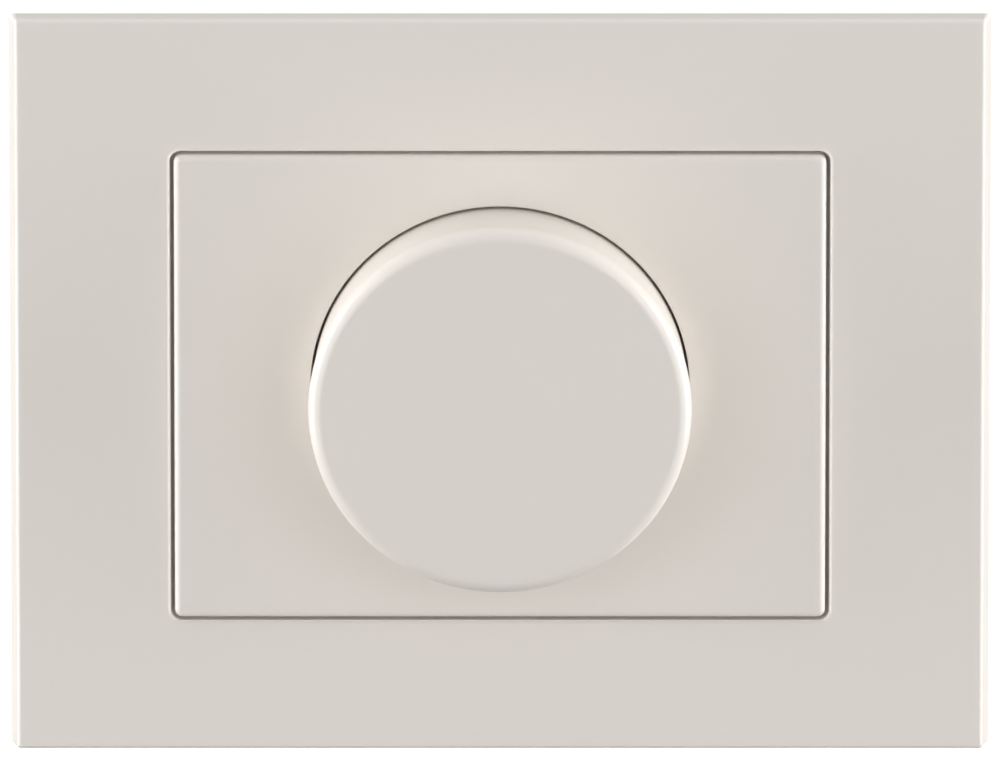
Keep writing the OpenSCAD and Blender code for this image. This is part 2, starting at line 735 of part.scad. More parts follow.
cover_frame();
centre_plate();
knob();
knob_clip();
retaining_nut();
lock_washer();
insert_cover();
cover_screws();
support_frame();
heat_sink();
claw_left();
claw_right();
claw_screw_left();
claw_screw_right();
housing();
housing_screws();
circuit_board();
terminal_block();
terminal_cages();
terminal_screws();
fuse_glass();
fuse_caps();
fuse_wire();
fuse_clips();
choke_core();
choke_winding();
suppression_capacitor();
timing_capacitor();
resistors();
trigger_diac();
power_triac();
thermal_pad();
triac_screw();
pot_bush();
pot_case();
resistive_track();
pot_pins();
pot_shaft();
wiper_carrier();
wiper_contact();
switch_case();
switch_plunger();
return_spring();
contact_bridge();
fixed_contacts();
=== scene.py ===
"""Rotary dimmer switch: the looks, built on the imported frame, in metres."""

import json
import math

import bmesh
import bpy
import numpy as np
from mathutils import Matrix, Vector

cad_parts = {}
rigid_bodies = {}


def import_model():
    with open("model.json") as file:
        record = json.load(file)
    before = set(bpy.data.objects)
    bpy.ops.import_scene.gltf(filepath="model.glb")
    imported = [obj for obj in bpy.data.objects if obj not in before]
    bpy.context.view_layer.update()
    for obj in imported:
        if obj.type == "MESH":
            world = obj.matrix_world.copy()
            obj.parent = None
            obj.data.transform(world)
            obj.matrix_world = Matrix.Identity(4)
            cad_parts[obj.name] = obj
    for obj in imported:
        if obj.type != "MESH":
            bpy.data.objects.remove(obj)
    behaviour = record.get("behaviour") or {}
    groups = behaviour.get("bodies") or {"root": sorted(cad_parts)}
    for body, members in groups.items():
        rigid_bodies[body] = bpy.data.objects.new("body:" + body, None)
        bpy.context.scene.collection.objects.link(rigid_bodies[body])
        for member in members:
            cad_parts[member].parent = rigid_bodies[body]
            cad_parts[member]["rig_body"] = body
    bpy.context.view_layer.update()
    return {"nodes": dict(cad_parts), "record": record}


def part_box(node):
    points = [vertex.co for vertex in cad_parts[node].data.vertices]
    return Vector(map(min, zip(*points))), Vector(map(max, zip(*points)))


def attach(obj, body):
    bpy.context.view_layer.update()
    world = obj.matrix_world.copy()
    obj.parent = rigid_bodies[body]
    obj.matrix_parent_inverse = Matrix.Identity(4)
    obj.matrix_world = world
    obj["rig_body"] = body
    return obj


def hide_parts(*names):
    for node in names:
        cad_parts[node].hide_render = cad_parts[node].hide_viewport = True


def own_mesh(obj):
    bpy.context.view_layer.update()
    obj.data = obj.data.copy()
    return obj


bl_info = {
    "name": "Rotary Dimmer Switch",
    "version": (1, 0, 0),
    "blender": (4, 5, 0),
    "location": "View3D > Sidebar > Dimmer",
    "description": "Builds a flush rotary dimmer with its insert, finishes and studio",
    "category": "Object",
}

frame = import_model()
MM = 0.001
PLATE_DEPTH = 2.0 * MM      # from the centre plate's front to the ledge that it lies on


def low(node):
    """Lowest corner of a CAD node, as an array."""
    return np.array(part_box(node)[0])


def high(node):
    """Highest corner of a CAD node, as an array."""
    return np.array(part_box(node)[1])


def half_size(node):
    """Half the size of a CAD node along X, Y and Z."""
    return (high(node) - low(node)) / 2


# ---- settings ------------------------------------------------------------------------------

def length(name, default, description):
    return bpy.props.FloatProperty(name=name, default=default, description=description,
                                   unit="LENGTH", subtype="DISTANCE", min=0.0)


def colour(name, default, description):
    return bpy.props.FloatVectorProperty(name=name, default=default, description=description,
                                         subtype="COLOR", size=3, min=0.0, max=1.0)


def factor(name, default, description):
    return bpy.props.FloatProperty(name=name, default=default, description=description,
                                   subtype="FACTOR", min=0.0, max=1.0)


class DimmerShape(bpy.types.PropertyGroup):
    """Small sizes that the frame leaves open."""
    frame_edge: length("Frame edge radius", 0.50 * MM, "Radius along the cover frame's front edge")
    frame_draft_side: length("Frame side draft", 0.60 * MM, "Lean of the frame's left and right edges")
    frame_draft_top: length("Frame top draft", 0.0 * MM, "Lean of the frame's top and bottom edges")
    slab: length("Frame edge depth", 2.60 * MM, "Depth of the cover frame's outer edge")
    window_edge: length("Window edge radius", 0.12 * MM, "Radius along the frame's window")
    lip: length("Lip height", 0.20 * MM, "How far the rim round the frame's window stands up")
    lip_run: length("Lip width", 3.8 * MM, "Width over which the frame's face curves up to the rim")
    plate_edge: length("Plate edge radius", 0.70 * MM, "Radius along the centre plate's front edge")
    well_edge: length("Well edge radius", 0.20 * MM, "Radius where the centre plate turns into the well")
    knob_edge: length("Knob edge radius", 1.50 * MM, "Radius round the knob's front")
    arc_steps: bpy.props.IntProperty(name="Arc steps", default=10, min=3, max=24,
                                     description="Faces across a rounded edge")
    round_steps: bpy.props.IntProperty(name="Round steps", default=288, min=48, max=512,
                                       description="Faces round a knob or a plate")


class DimmerFinish(bpy.types.PropertyGroup):
    """Colours and gloss of the visible plastics."""
    front: colour("Front plastic", (0.845, 0.798, 0.745), "Frame, centre plate and knob")
    front_roughness: factor("Front roughness", 0.34, "Roughness of the front plastic")
    insert: colour("Insert plastic", (0.215, 0.222, 0.235), "Insert cover")
    housing: colour("Housing plastic", (0.165, 0.172, 0.185), "Housing behind the wall")


class DimmerStage(bpy.types.PropertyGroup):
    """Camera and lights."""
    elevation: bpy.props.FloatProperty(name="Elevation", default=math.radians(18.0), subtype="ANGLE",
                                       description="Height of the camera above the horizon")
    distance: length("Distance", 3.60, "Distance from the camera to the frame's front")
    lens: bpy.props.FloatProperty(name="Lens", default=1181.0, min=100.0, max=1190.0, unit="CAMERA",
                                  description="Focal length on a 36 mm sensor")
    aim_up: length("Aim", 0.66 * MM, "How far above the knob's axis the camera aims")
    side_watts: bpy.props.FloatProperty(name="Side lights", default=3.1, min=0.0, unit="POWER",
                                        description="Power of each side softbox")
    front_watts: bpy.props.FloatProperty(name="Front lights", default=1.0, min=0.0, unit="POWER",
                                         description="Power of each softbox in front at the side")
    top_watts: bpy.props.FloatProperty(name="Top light", default=0.85, min=0.0, unit="POWER",
                                       description="Power of the top softbox")
    back_watts: bpy.props.FloatProperty(name="Back lights", default=1.7, min=0.0, unit="POWER",
                                        description="Power of each softbox behind the object")
    sky: factor("Sky", 0.46, "Brightness of the studio above")
    ground: factor("Ground", 0.15, "Brightness of the studio below")


# ---- surfaces ------------------------------------------------------------------------------

def mesh_piece(name, points, faces):
    """An object at the origin from an array of points and an array or list of faces, shaded smooth
    with edges over 30 degrees kept sharp."""
    mesh = bpy.data.meshes.new(name)
    mesh.from_pydata(np.asarray(points, float).reshape(-1, 3), [], [list(map(int, f)) for f in faces])
    mesh.validate()
    mesh.shade_smooth()
    mesh.set_sharp_from_angle(angle=math.radians(30))
    piece = bpy.data.objects.new(name, mesh)
    bpy.context.scene.collection.objects.link(piece)
    return piece


def grid_faces(rows, columns, wrap_rows=False):
    """Faces of a grid of points whose rows are closed rings: each joins point (i, j) to its neighbours
    in the next row and column. With wrap_rows the last row joins the first."""
    i = np.arange(rows if wrap_rows else rows - 1)
    i, j = np.meshgrid(i, np.arange(columns), indexing="ij")
    k, m = (i + 1) % rows, (j + 1) % columns
    faces = np.stack([i * columns + j, i * columns + m, k * columns + m, k * columns + j], -1)
    return faces.reshape(-1, 4)


def arc(x, y, radius, start, end, steps):
    """Points on a circle's arc about (x, y): radius times the cosine and sine of evenly spaced angles."""
    a = np.radians(np.linspace(start, end, steps + 1))
    return np.stack([x + radius * np.cos(a), y + radius * np.sin(a)], -1)


def joined(*parts):
    """One list of [x, y] points from arrays and single points."""
    return np.concatenate([np.atleast_2d(np.asarray(p, float)) for p in parts])


def loop_angles(corners, steps):
    """Angles for rays round a rectangle: evenly spaced, with more of them near its corners, which are
    given as (half width, half height, reach in radians)."""
    even = np.linspace(0, 2 * math.pi, steps, endpoint=False) + math.pi / steps
    rays_a_corner = 15
    extra = []
    for a, b, reach in corners:
        first = math.atan2(b, a)
        spread = first + reach * np.linspace(-1, 1, rays_a_corner)
        extra += [spread, math.pi - spread, math.pi + spread, 2 * math.pi - spread]
    return np.unique(np.round(np.concatenate([even] + extra) % (2 * math.pi), 6))


def rectangle_ring(angles, a, b, r):
    """Where rays from the centre meet a rounded rectangle: the nearer of the two straight sides, or
    the corner circle where both are past their ends. Returns x and z."""
    c, s = np.abs(np.cos(angles)), np.abs(np.sin(angles))
    side = a / np.maximum(c, 1e-9)
    top = b / np.maximum(s, 1e-9)
    t = np.minimum(side, top)
    px, pz = a - r, b - r
    along = c * px + s * pz
    inside = np.maximum(along ** 2 - (px ** 2 + pz ** 2 - r ** 2), 0)
    corner = along + np.sqrt(inside)
    in_corner = (t * c > px) & (t * s > pz)
    t = np.where(in_corner, corner, t)
    return t * np.cos(angles), t * np.sin(angles)


def ring_stack(angles, rings):
    """A closed surface through rings round the Y axis. Each ring is (half width, half height, corner
    radius, y). Rings run along the outline of the section, and the last joins the first."""
    rows = []
    for a, b, r, y in rings:
        x, z = rectangle_ring(angles, a, b, max(min(r, a, b), 1e-6))
        rows.append(np.stack([x, np.full_like(x, y), z], -1))
    return np.concatenate(rows), grid_faces(len(rings), len(angles), wrap_rows=True)


def lathe(profile, steps, flat, flat_rings):
    """A profile of (radius, y) that starts and ends on the Y axis, turned round it: point (i, j) is at
    radius i times the sine and cosine of angle j. The last flat_rings rings are cut to a D at
    x = flat, and each end is one pole with a fan of triangles."""
    rings = profile[1:-1]
    angle = np.linspace(0, 2 * math.pi, steps, endpoint=False)
    radius = np.repeat(rings[:, :1], steps, 1)
    limit = np.where(np.sin(angle) > 1e-3, flat / np.maximum(np.sin(angle), 1e-3), 1.0)
    radius[-flat_rings:] = np.minimum(radius[-flat_rings:], limit)
    x, z = radius * np.sin(angle), radius * np.cos(angle)
    y = np.repeat(rings[:, 1:], steps, 1)
    points = np.concatenate([np.stack([x, y, z], -1).reshape(-1, 3),
                             [[0, profile[0, 1], 0], [0, profile[-1, 1], 0]]])
    faces = grid_faces(len(rings), steps)[:, ::-1].tolist()
    first, last = len(points) - 2, len(points) - 1
    j = np.arange(steps)
    after = (j + 1) % steps
    row = (len(rings) - 1) * steps
    faces += np.stack([after, j, np.full(steps, first)], -1).tolist()
    faces += np.stack([np.full(steps, last), row + j, row + after], -1).tolist()
    return points, faces


def combine(*shapes):
    """Several (points, faces) shapes as one."""
    points, faces, start = [], [], 0
    for p, f in shapes:
        points.append(np.asarray(p, float).reshape(-1, 3))
        faces += [[v + start for v in face] for face in f]
        start += len(points[-1])
    return np.concatenate(points), faces


def rod_box(lo, hi, r):
    """A box whose four edges along Y are rounded: a rounded rectangle carried from y to y."""
    steps = 3
    lo, hi = np.asarray(lo, float), np.asarray(hi, float)
    centre, half = (lo + hi) / 2, (hi - lo) / 2
    corner = np.radians(np.linspace(0, 90, steps + 1))
    x, z = [], []
    for k, (sx, sz) in enumerate(((1, 1), (-1, 1), (-1, -1), (1, -1))):
        a = corner + k * math.pi / 2
        x.append(sx * (half[0] - r) + r * np.cos(a))
        z.append(sz * (half[2] - r) + r * np.sin(a))
    x, z = np.concatenate(x), np.concatenate(z)
    n = len(x)
    rows = [np.stack([x, np.full(n, y), z], -1) for y in (-half[1], half[1])]
    points = np.concatenate(rows) + centre
    faces = grid_faces(2, n).tolist() + [list(range(n))[::-1], list(range(n, 2 * n))]
    return points, [f[::-1] for f in faces]


def tube(path, radius, sides=12):
    """A round tube along a path. At each point it has a circle square to the path, whose first radius
    is carried on from the one before, so the tube never twists. Both ends are closed."""
    path = np.asarray(path, float)
    tangent = np.gradient(path, axis=0)
    tangent /= np.linalg.norm(tangent, axis=1)[:, None]
    first = np.cross(tangent[0], [0.31, 0.17, 0.93])
    points = []
    angle = np.linspace(0, 2 * math.pi, sides, endpoint=False)
    for centre, t in zip(path, tangent):
        first = first - t * (first @ t)
        first /= np.linalg.norm(first)
        second = np.cross(t, first)
        circle = np.cos(angle)[:, None] * first + np.sin(angle)[:, None] * second
        points.append(centre + radius * circle)
    n = len(path)
    faces = grid_faces(n, sides)[:, ::-1].tolist()
    faces += [list(range(sides)), list(range(sides * (n - 1), sides * n))[::-1]]
    return np.concatenate(points), faces


def thread(x, z, core, depth, pitch, start, end):
    """A screw thread along Y about (x, z): the radius at height y and angle a is the core plus the
    depth times a triangle wave of y / pitch - a / turn, and the depth fades to nothing at both ends."""
    steps, rows_a_turn = 24, 8
    rows = int((end - start) / pitch * rows_a_turn)
    y = np.linspace(start, end, rows + 1)[:, None]
    a = np.linspace(0, 2 * math.pi, steps, endpoint=False)[None, :]
    phase = (y / pitch - a / (2 * math.pi)) % 1.0
    wave = 1 - np.abs(2 * phase - 1)
    fade = np.clip(np.minimum(y - start, end - y) / pitch, 0, 1)
    radius = core + depth * wave * fade
    points = np.stack([x + radius * np.sin(a), np.broadcast_to(y, radius.shape),
                       z + radius * np.cos(a)], -1).reshape(-1, 3)
    faces = grid_faces(rows + 1, steps).tolist()
    faces += [list(range(steps))[::-1], list(range(rows * steps, (rows + 1) * steps))]
    return points, faces


# ---- pieces --------------------------------------------------------------------------------

def outward(piece):
    """Turns a piece's faces outwards."""
    work = bmesh.new()
    work.from_mesh(piece.data)
    bmesh.ops.recalc_face_normals(work, faces=work.faces)
    work.to_mesh(piece.data)
    work.free()


def added(name, shape, node):
    """An extra piece made from a shape, which rides with the node and shares its slot."""
    piece = mesh_piece(name, *shape)
    outward(piece)
    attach(piece, frame["nodes"][node]["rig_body"])
    piece.data.materials.append(MATERIALS[SLOTS[node]])
    return piece


def stands_for(name, shape, node):
    """A piece made from a shape, which has the node's body and slot and replaces it."""
    piece = added(name, shape, node)
    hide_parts(node)
    return piece


def rounded(node, width):
    """A copy of a CAD node with its points joined and every edge sharper than 35 degrees rounded to
    the width. It replaces the node on the same body."""
    weld = 0.0005 * MM
    work = bmesh.new()
    work.from_mesh(frame["nodes"][node].data)
    bmesh.ops.remove_doubles(work, verts=work.verts, dist=weld)
    bmesh.ops.dissolve_limit(work, angle_limit=math.radians(0.5), verts=work.verts, edges=work.edges)
    sharp = [e for e in work.edges if e.is_manifold and e.calc_face_angle() > math.radians(35)]
    bmesh.ops.bevel(work, geom=sharp, offset=width, offset_type="OFFSET", segments=2,
                    profile=0.5, affect="EDGES", clamp_overlap=True)
    name = node.title().replace("_Case", "_Shell")
    mesh = bpy.data.meshes.new(name)
    work.to_mesh(mesh)
    work.free()
    mesh.shade_smooth()
    mesh.set_sharp_from_angle(angle=math.radians(40))
    piece = bpy.data.objects.new(name, mesh)
    bpy.context.scene.collection.objects.link(piece)
    weigh = piece.modifiers.new("Flat Faces", "WEIGHTED_NORMAL")
    weigh.keep_sharp = True
    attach(piece, frame["nodes"][node]["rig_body"])
    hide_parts(node)
    mesh.materials.append(MATERIALS[SLOTS[node]])
    return piece


def round_all(widths):
    """Rounded copies of several CAD nodes, from a dict of node to width in millimetres."""
    for node, width in widths.items():
        rounded(node, width * MM)


SLOTS = {entry["node"]: entry["material_slot"] for entry in frame["record"]["subparts"]}


# ---- materials -----------------------------------------------------------------------------

def node_group(name, inputs, outputs):
    """An empty shader node group with named sockets, and its input and output nodes."""
    group = bpy.data.node_groups.new(name, "ShaderNodeTree")
    for label, kind, value in inputs:
        socket = group.interface.new_socket(name=label, in_out="INPUT", socket_type=kind)
        socket.default_value = value
    for label, kind in outputs:
        group.interface.new_socket(name=label, in_out="OUTPUT", socket_type=kind)
    return group, group.nodes.new("NodeGroupInput"), group.nodes.new("NodeGroupOutput")


def math_node(tree, operation, first, second):
    node = tree.nodes.new("ShaderNodeMath")
    node.operation = operation
    for socket, value in zip(node.inputs, (first, second)):
        if isinstance(value, (int, float)):
            socket.default_value = value
        else:
            tree.links.new(value, socket)
    return node.outputs[0]


def swing(tree, value, amount):
    """A value about 0.5 made a swing about zero: the value less 0.5, times the amount."""
    return math_node(tree, "MULTIPLY", math_node(tree, "SUBTRACT", value, 0.5), amount)


def noise(tree, vector, scale, detail=3.0, roughness=0.5):
    node = tree.nodes.new("ShaderNodeTexNoise")
    node.inputs["Detail"].default_value = detail
    node.inputs["Roughness"].default_value = roughness
    if isinstance(scale, (int, float)):
        node.inputs["Scale"].default_value = scale
    else:
        tree.links.new(scale, node.inputs["Scale"])
    tree.links.new(vector, node.inputs["Vector"])
    return node.outputs["Fac"]


def shaded(tree, colour_socket, amount):
    """A colour made lighter or darker by a value about 1."""
    node = tree.nodes.new("ShaderNodeMix")
    node.data_type = "RGBA"
    node.blend_type = "MULTIPLY"
    node.inputs["Factor"].default_value = 1.0
    tree.links.new(colour_socket, node.inputs["A"])
    tree.links.new(amount, node.inputs["B"])
    return node.outputs["Result"]


def moulded_skin():
    """The skin of moulded plastic: a fine grain in the height, a faint flow of the tone, and a
    roughness that wanders a little. Outputs colour, roughness and normal."""
    group, given, made = node_group(
        "Moulded Skin",
        [("Color", "NodeSocketColor", (0.8, 0.8, 0.8, 1)), ("Roughness", "NodeSocketFloat", 0.4),
         ("Tone", "NodeSocketFloat", 0.02), ("Grain Scale", "NodeSocketFloat", 9000.0),
         ("Grain Depth", "NodeSocketFloat", 0.004)],
        [("Color", "NodeSocketColor"), ("Roughness", "NodeSocketFloat"), ("Normal", "NodeSocketVector")])
    coords = group.nodes.new("ShaderNodeTexCoord").outputs["Object"]
    flow = noise(group, coords, scale=38.0, detail=2.0)
    tone = math_node(group, "ADD", swing(group, flow, given.outputs["Tone"]), 1.0)
    group.links.new(shaded(group, given.outputs["Color"], tone), made.inputs["Color"])
    haze = noise(group, coords, scale=420.0, detail=4.0)
    wander = 0.10
    rough = math_node(group, "ADD", given.outputs["Roughness"], swing(group, haze, wander))
    group.links.new(rough, made.inputs["Roughness"])
    bump = group.nodes.new("ShaderNodeBump")
    bump.inputs["Distance"].default_value = 0.02 * MM
    grain = noise(group, coords, scale=given.outputs["Grain Scale"], detail=2.0)
    group.links.new(grain, bump.inputs["Height"])
    group.links.new(given.outputs["Grain Depth"], bump.inputs["Strength"])
    group.links.new(bump.outputs["Normal"], made.inputs["Normal"])
    return group


def metal_skin():
    """The skin of worked metal: drawn lines along one axis, cloudy plating and rubbed spots.
    Outputs colour, roughness and normal."""
    group, given, made = node_group(
        "Metal Skin",
        [("Color", "NodeSocketColor", (0.7, 0.7, 0.7, 1)), ("Roughness", "NodeSocketFloat", 0.35),
         ("Cloud", "NodeSocketFloat", 0.12), ("Line Depth", "NodeSocketFloat", 0.15),
         ("Line Stretch", "NodeSocketVector", (90.0, 6000.0, 6000.0))],
        [("Color", "NodeSocketColor"), ("Roughness", "NodeSocketFloat"), ("Normal", "NodeSocketVector")])
    coords = group.nodes.new("ShaderNodeTexCoord").outputs["Object"]
    stretch = group.nodes.new("ShaderNodeVectorMath")
    stretch.operation = "MULTIPLY"
    group.links.new(coords, stretch.inputs[0])
    group.links.new(given.outputs["Line Stretch"], stretch.inputs[1])
    lines = noise(group, stretch.outputs[0], scale=1.0, roughness=0.6)
    clouds = noise(group, coords, scale=260.0, detail=5.0, roughness=0.62)
    tone = math_node(group, "ADD", swing(group, clouds, given.outputs["Cloud"]), 1.0)
    group.links.new(shaded(group, given.outputs["Color"], tone), made.inputs["Color"])
    rubbed, cloudy = 0.22, 0.15
    rough = math_node(group, "ADD", given.outputs["Roughness"], swing(group, lines, rubbed))
    rough = math_node(group, "ADD", rough, swing(group, clouds, cloudy))
    group.links.new(rough, made.inputs["Roughness"])
    bump = group.nodes.new("ShaderNodeBump")
    bump.inputs["Distance"].default_value = 0.03 * MM
    group.links.new(lines, bump.inputs["Height"])
    group.links.new(given.outputs["Line Depth"], bump.inputs["Strength"])
    group.links.new(bump.outputs["Normal"], made.inputs["Normal"])
    return group


GROUPS = {}


def skin_group(kind):
    """The shared group of that kind, built the first time it is asked for."""
    if kind not in GROUPS:
        GROUPS[kind] = {"moulded": moulded_skin, "metal": metal_skin}[kind]()
    return GROUPS[kind]


def skinned_material(name, kind, base, roughness, sockets=(), **skin):
    """A Principled material whose colour, roughness and normal come from a shared skin group. skin
    sets the group's inputs by name, and sockets sets the shader's own."""
    material = bpy.data.materials.new(name)
    material.use_nodes = True
    tree = material.node_tree
    shader = tree.nodes["Principled BSDF"]
    group = tree.nodes.new("ShaderNodeGroup")
    group.node_tree = skin_group(kind)
    group.inputs["Color"].default_value = (*base, 1.0)
    group.inputs["Roughness"].default_value = roughness
    for label, value in skin.items():
        group.inputs[label.replace("_", " ").title()].default_value = value
    shader.inputs["Metallic"].default_value = 1.0 if kind == "metal" else 0.0
    for label, value in dict(sockets).items():
        shader.inputs[label].default_value = value
    tree.links.new(group.outputs["Color"], shader.inputs["Base Color"])
    tree.links.new(group.outputs["Roughness"], shader.inputs["Roughness"])
    tree.links.new(group.outputs["Normal"], shader.inputs["Normal"])
    return material


def glass_material(name):
    """Clear glass with a faint green in its body."""
    material = bpy.data.materials.new(name)
    material.use_nodes = True
    tree = material.node_tree
    shader = tree.nodes["Principled BSDF"]
    shader.inputs["Transmission Weight"].default_value = 1.0
    shader.inputs["IOR"].default_value = 1.5
    coords = tree.nodes.new("ShaderNodeTexCoord").outputs["Object"]
    ramp = tree.nodes.new("ShaderNodeMapRange")
    ramp.inputs["To Min"].default_value = 0.02
    ramp.inputs["To Max"].default_value = 0.06
    tree.links.new(noise(tree, coords, scale=300.0), ramp.inputs["Value"])
    tree.links.new(ramp.outputs["Result"], shader.inputs["Roughness"])
    shader.inputs["Base Color"].default_value = (0.93, 0.98, 0.96, 1.0)
    return material


MATERIALS = {}


def finishes():
    """Every material, by the record's slot name."""
    settings = bpy.context.scene.dimmer_finish
    gloss = {"Specular IOR Level": 0.5, "Coat Weight": 0.15, "Coat Roughness": 0.22}
    plain = {"Specular IOR Level": 0.4}
    made = {
        "front_plastic": skinned_material("Front Plastic", "moulded", settings.front,
                                          settings.front_roughness, gloss, tone=0.012,
                                          grain_scale=5200.0, grain_depth=0.10),
        "insert_plastic": skinned_material("Insert Plastic", "moulded", settings.insert, 0.55, plain,
                                           tone=0.08, grain_depth=0.35),
        "housing_plastic": skinned_material("Housing Plastic", "moulded", settings.housing, 0.52, plain,
                                            tone=0.10, grain_depth=0.40),
        "terminal_plastic": skinned_material("Terminal Plastic", "moulded", (0.60, 0.59, 0.54), 0.45,
                                             plain, tone=0.05, grain_depth=0.2),
        "black_plastic": skinned_material("Black Plastic", "moulded", (0.022, 0.022, 0.025), 0.42,
                                          plain, tone=0.12, grain_depth=0.25),
        "natural_nylon": skinned_material("Natural Nylon", "moulded", (0.70, 0.67, 0.58), 0.38,
                                          {"Subsurface Weight": 0.08}, tone=0.05, grain_depth=0.1),
        "ferrite": skinned_material("Ferrite", "moulded", (0.055, 0.055, 0.06), 0.6, plain, tone=0.35,
                                    grain_scale=5000.0, grain_depth=0.8),
        "board": skinned_material("Board", "moulded", (0.03, 0.14, 0.05), 0.28, gloss, tone=0.25,
                                  grain_scale=2400.0, grain_depth=0.3),
        "capacitor_case": skinned_material("Capacitor Case", "moulded", (0.70, 0.48, 0.06), 0.3, gloss,
                                           tone=0.06, grain_depth=0.1),
        "timing_case": skinned_material("Timing Capacitor", "moulded", (0.30, 0.045, 0.03), 0.22, gloss,
                                        tone=0.2, grain_scale=1500.0, grain_depth=0.5),
        "resistor_body": skinned_material("Resistor Body", "moulded", (0.58, 0.43, 0.26), 0.3, gloss,
                                          tone=0.12, grain_scale=2500.0, grain_depth=0.4),
        "diac_body": skinned_material("Diac Body", "moulded", (0.06, 0.11, 0.36), 0.25, gloss,
                                      tone=0.1, grain_depth=0.2),
        "black_epoxy": skinned_material("Black Epoxy", "moulded", (0.026, 0.026, 0.028), 0.6, plain,
                                        tone=0.2, grain_scale=6000.0, grain_depth=0.7),
        "pad_rubber": skinned_material("Pad Rubber", "moulded", (0.42, 0.47, 0.53), 0.7, plain,
                                       tone=0.15, grain_depth=0.5),
        "phenolic": skinned_material("Phenolic", "moulded", (0.23, 0.105, 0.035), 0.5, plain, tone=0.3,
                                     grain_scale=3000.0, grain_depth=0.4),
        "zinc_steel": skinned_material("Zinc Steel", "metal", (0.62, 0.64, 0.66), 0.36, cloud=0.25,
                                       line_depth=0.12),
        "yellow_zinc_steel": skinned_material("Yellow Zinc Steel", "metal", (0.60, 0.53, 0.36), 0.38,
                                              cloud=0.45, line_depth=0.1),
        "spring_steel": skinned_material("Spring Steel", "metal", (0.42, 0.43, 0.45), 0.3, cloud=0.2),
        "spring_bronze": skinned_material("Spring Bronze", "metal", (0.66, 0.41, 0.22), 0.32, cloud=0.2),
        "brass": skinned_material("Brass", "metal", (0.74, 0.55, 0.24), 0.28, cloud=0.15,
                                  line_depth=0.1),
        "nickel": skinned_material("Nickel", "metal", (0.68, 0.65, 0.60), 0.2, cloud=0.1),
        "aluminium": skinned_material("Aluminium", "metal", (0.76, 0.77, 0.78), 0.4, cloud=0.1,
                                      line_depth=0.3),
        "copper_wire": skinned_material("Copper Wire", "metal", (0.60, 0.24, 0.09), 0.22,
                                        {"Coat Weight": 0.8, "Coat Roughness": 0.1}, cloud=0.25),
        "fuse_glass": glass_material("Fuse Glass"),
    }
    MATERIALS.update(made)


# ---- operators -----------------------------------------------------------------------------

class DIMMER_OT_finishes(bpy.types.Operator):
    """Makes the materials and gives every CAD node the one of its slot"""
    bl_idname = "dimmer.finishes"
    bl_label = "Finishes"

    def execute(self, context):
        finishes()
        for name, node in frame["nodes"].items():
            node.data.materials.clear()
            node.data.materials.append(MATERIALS[SLOTS[name]])
        return {"FINISHED"}


